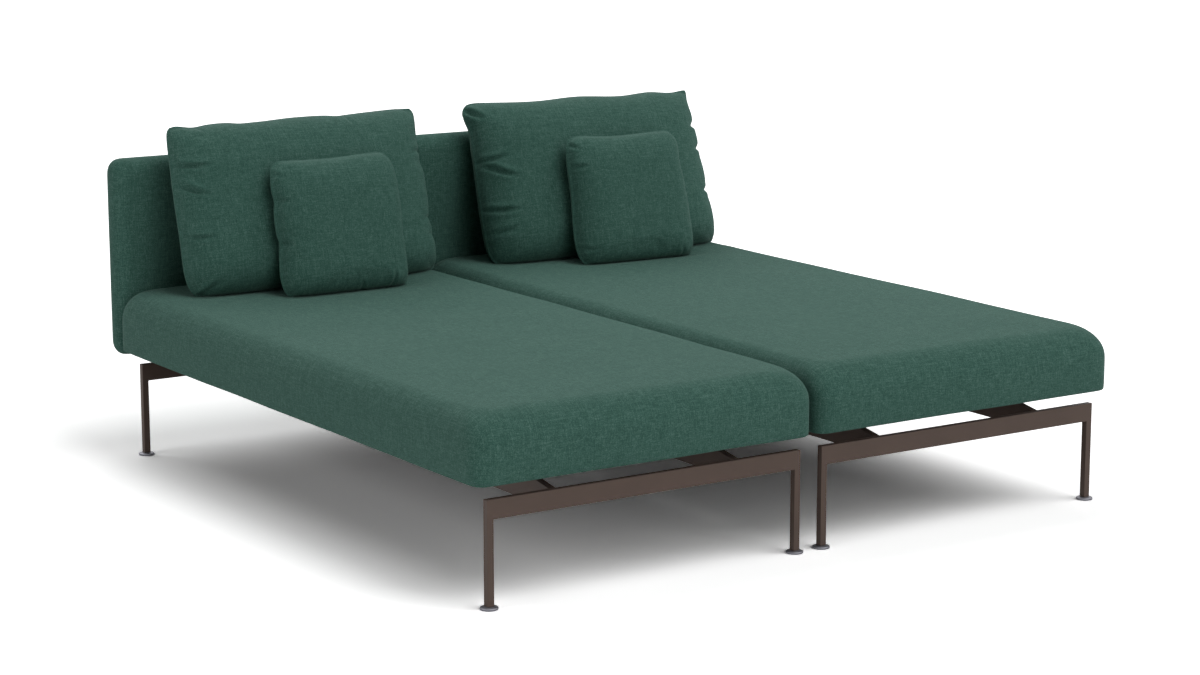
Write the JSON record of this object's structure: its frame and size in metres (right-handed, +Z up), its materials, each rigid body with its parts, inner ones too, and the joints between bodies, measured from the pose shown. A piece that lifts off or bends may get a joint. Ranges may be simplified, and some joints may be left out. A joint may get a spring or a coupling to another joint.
{
  "type": "double chaise lounger",
  "caption": "Pair of low upholstered chaise loungers side by side on slim tube frames, with backrests and loose cushions.",
  "frame": {"origin": "on the ground under the middle of the pair, the centre of the bounding box's underside", "axes": "+X to the right seen from the foot end, +Y towards the backrests, +Z up"},
  "size_m": [1.648, 1.7214, 0.7817],
  "materials": {
    "frame": "satin",
    "foot": "satin",
    "insert": "matte",
    "board": "matte",
    "filling": "matte",
    "upholstery": "matte",
    "bracket": "satin",
    "screw": "satin"
  },
  "bodies": {
    "left_lounger": {"left_front_crossbar": "frame", "left_rear_crossbar": "frame", "left_front_outer_leg": "frame", "left_front_inner_leg": "frame", "left_rear_outer_leg": "frame", "left_rear_inner_leg": "frame", "left_outer_rail": "frame", "left_inner_rail": "frame", "left_seat_tabs": "frame", "left_leg_inserts": "insert", "left_seat_panel": "board", "left_back_panel": "board", "left_seat_foam": "filling", "left_back_foam": "filling", "left_seat_cover": "upholstery", "left_back_cover": "upholstery", "left_outer_back_bracket": "bracket", "left_inner_back_bracket": "bracket", "left_seat_screws": "screw", "left_bracket_screws": "screw"},
    "left_front_outer_leveller": {"left_front_outer_foot": "foot"},
    "left_front_inner_leveller": {"left_front_inner_foot": "foot"},
    "left_rear_outer_leveller": {"left_rear_outer_foot": "foot"},
    "left_rear_inner_leveller": {"left_rear_inner_foot": "foot"},
    "left_back_cushion": {"left_back_cushion_cover": "upholstery", "left_back_cushion_fill": "filling"},
    "left_throw_cushion": {"left_throw_cushion_cover": "upholstery", "left_throw_cushion_fill": "filling"},
    "right_lounger": {"right_front_crossbar": "frame", "right_rear_crossbar": "frame", "right_front_outer_leg": "frame", "right_front_inner_leg": "frame", "right_rear_outer_leg": "frame", "right_rear_inner_leg": "frame", "right_outer_rail": "frame", "right_inner_rail": "frame", "right_seat_tabs": "frame", "right_leg_inserts": "insert", "right_seat_panel": "board", "right_back_panel": "board", "right_seat_foam": "filling", "right_back_foam": "filling", "right_seat_cover": "upholstery", "right_back_cover": "upholstery", "right_outer_back_bracket": "bracket", "right_inner_back_bracket": "bracket", "right_seat_screws": "screw", "right_bracket_screws": "screw"},
    "right_front_outer_leveller": {"right_front_outer_foot": "foot"},
    "right_front_inner_leveller": {"right_front_inner_foot": "foot"},
    "right_rear_outer_leveller": {"right_rear_outer_foot": "foot"},
    "right_rear_inner_leveller": {"right_rear_inner_foot": "foot"},
    "right_back_cushion": {"right_back_cushion_cover": "upholstery", "right_back_cushion_fill": "filling"},
    "right_throw_cushion": {"right_throw_cushion_cover": "upholstery", "right_throw_cushion_fill": "filling"}
  },
  "joints": [
    {"name": "right_lounger_slide", "type": "slide", "parent": "left_lounger", "child": "right_lounger", "axis": [1, 0, 0], "range_m": [0, 0.5]},
    {"name": "left_front_outer_foot_screw", "type": "slide", "parent": "left_lounger", "child": "left_front_outer_leveller", "axis": [0, 0, -1], "range_m": [0, 0.012]},
    {"name": "left_front_inner_foot_screw", "type": "slide", "parent": "left_lounger", "child": "left_front_inner_leveller", "axis": [0, 0, -1], "range_m": [0, 0.012]},
    {"name": "left_rear_outer_foot_screw", "type": "slide", "parent": "left_lounger", "child": "left_rear_outer_leveller", "axis": [0, 0, -1], "range_m": [0, 0.012]},
    {"name": "left_rear_inner_foot_screw", "type": "slide", "parent": "left_lounger", "child": "left_rear_inner_leveller", "axis": [0, 0, -1], "range_m": [0, 0.012]},
    {"name": "left_back_cushion_lift", "type": "slide", "parent": "left_lounger", "child": "left_back_cushion", "axis": [0, 0, 1], "range_m": [0, 0.3]},
    {"name": "left_throw_cushion_lift", "type": "slide", "parent": "left_back_cushion", "child": "left_throw_cushion", "axis": [0, 0, 1], "range_m": [0, 0.25]},
    {"name": "right_front_outer_foot_screw", "type": "slide", "parent": "right_lounger", "child": "right_front_outer_leveller", "axis": [0, 0, -1], "range_m": [0, 0.012]},
    {"name": "right_front_inner_foot_screw", "type": "slide", "parent": "right_lounger", "child": "right_front_inner_leveller", "axis": [0, 0, -1], "range_m": [0, 0.012]},
    {"name": "right_rear_outer_foot_screw", "type": "slide", "parent": "right_lounger", "child": "right_rear_outer_leveller", "axis": [0, 0, -1], "range_m": [0, 0.012]},
    {"name": "right_rear_inner_foot_screw", "type": "slide", "parent": "right_lounger", "child": "right_rear_inner_leveller", "axis": [0, 0, -1], "range_m": [0, 0.012]},
    {"name": "right_back_cushion_lift", "type": "slide", "parent": "right_lounger", "child": "right_back_cushion", "axis": [0, 0, 1], "range_m": [0, 0.3]},
    {"name": "right_throw_cushion_lift", "type": "slide", "parent": "right_back_cushion", "child": "right_throw_cushion", "axis": [0, 0, 1], "range_m": [0, 0.25]}
  ]
}
